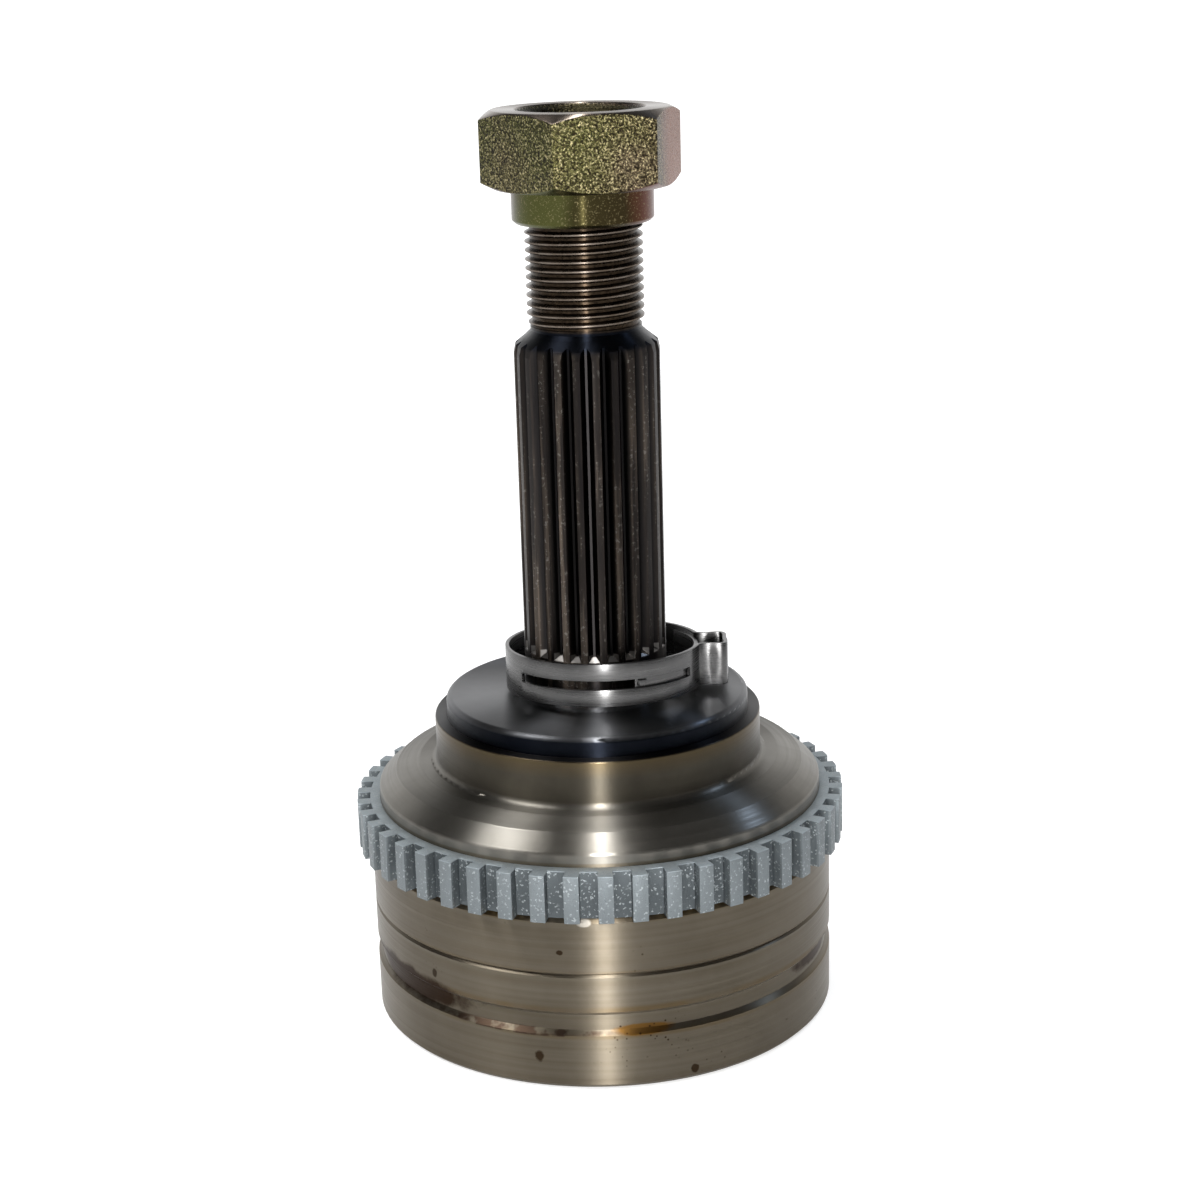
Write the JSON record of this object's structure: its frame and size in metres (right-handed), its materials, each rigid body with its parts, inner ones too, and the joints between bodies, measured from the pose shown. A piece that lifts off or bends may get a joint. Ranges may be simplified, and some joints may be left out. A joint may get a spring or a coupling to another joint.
{
  "type": "fixed constant velocity joint",
  "caption": "Outer ball-type constant velocity joint with tone ring, splined and threaded stub, collared hexagon nut and a loose band clamp.",
  "frame": {"origin": "centre of the open mouth's rim plane, on the stub axis", "axes": "+Z along the stub, from the mouth to the nut; -Y is the side seen first, +X the side of the clamp's ear"},
  "size_m": [0.0864, 0.0864, 0.1575],
  "materials": {
    "forged_steel": "turned, oiled, light rust",
    "zinc_steel": "zinc plated, grainy",
    "yellow_zinc": "yellow passivated zinc",
    "stainless_band": "rolled strip",
    "cage_steel": "ground and phosphated",
    "race_steel": "ground",
    "spring_steel": "oiled spring wire",
    "ball_steel": "polished bearing steel"
  },
  "bodies": {
    "bell": {"outer_race": "forged_steel", "abs_tone_ring": "zinc_steel"},
    "inner": {"inner_race": "race_steel", "retaining_circlip": "spring_steel"},
    "cage": {"ball_cage": "cage_steel"},
    "ball_1": {"ball_1": "ball_steel"},
    "ball_2": {"ball_2": "ball_steel"},
    "ball_3": {"ball_3": "ball_steel"},
    "ball_4": {"ball_4": "ball_steel"},
    "ball_5": {"ball_5": "ball_steel"},
    "ball_6": {"ball_6": "ball_steel"},
    "nut": {"axle_nut": "yellow_zinc"},
    "clamp": {"boot_clamp": "stainless_band"}
  },
  "joints": [
    {"name": "inner_race_tilt", "type": "hinge", "parent": "bell", "child": "inner", "pos_m": [0, 0, 0.0195], "axis": [1, 0, 0], "range_deg": [-45, 45]},
    {"name": "cage_tilt", "type": "hinge", "parent": "bell", "child": "cage", "pos_m": [0, 0, 0.0195], "axis": [1, 0, 0], "range_deg": [-22.5, 22.5]},
    {"name": "ball_1_slide", "type": "slide", "parent": "cage", "child": "ball_1", "axis": [0, 1, 0], "range_m": [-0.0014, 0.0014]},
    {"name": "ball_2_slide", "type": "slide", "parent": "cage", "child": "ball_2", "axis": [-0.866, 0.5, 0], "range_m": [-0.0007, 0.0007]},
    {"name": "ball_3_slide", "type": "slide", "parent": "cage", "child": "ball_3", "axis": [-0.866, -0.5, 0], "range_m": [-0.0007, 0.0007]},
    {"name": "ball_4_slide", "type": "slide", "parent": "cage", "child": "ball_4", "axis": [0, -1, 0], "range_m": [-0.0014, 0.0014]},
    {"name": "ball_5_slide", "type": "slide", "parent": "cage", "child": "ball_5", "axis": [0.866, -0.5, 0], "range_m": [-0.0007, 0.0007]},
    {"name": "ball_6_slide", "type": "slide", "parent": "cage", "child": "ball_6", "axis": [0.866, 0.5, 0], "range_m": [-0.0007, 0.0007]},
    {"name": "nut_turn", "type": "hinge", "parent": "bell", "child": "nut", "pos_m": [0, 0, 0.1483], "axis": [0, 0, 1], "continuous": true},
    {"name": "clamp_slide", "type": "slide", "parent": "bell", "child": "clamp", "axis": [0, 0, 1], "range_m": [0, 0.07]}
  ],
  "couplings": [
    {"joint": "cage_tilt", "follows": "inner_race_tilt", "ratio": 0.5},
    {"joint": "ball_1_slide", "follows": "inner_race_tilt", "m_per_rad": -0.00175},
    {"joint": "ball_2_slide", "follows": "inner_race_tilt", "m_per_rad": -0.000875},
    {"joint": "ball_3_slide", "follows": "inner_race_tilt", "m_per_rad": 0.000875},
    {"joint": "ball_4_slide", "follows": "inner_race_tilt", "m_per_rad": 0.00175},
    {"joint": "ball_5_slide", "follows": "inner_race_tilt", "m_per_rad": 0.000875},
    {"joint": "ball_6_slide", "follows": "inner_race_tilt", "m_per_rad": -0.000875}
  ]
}
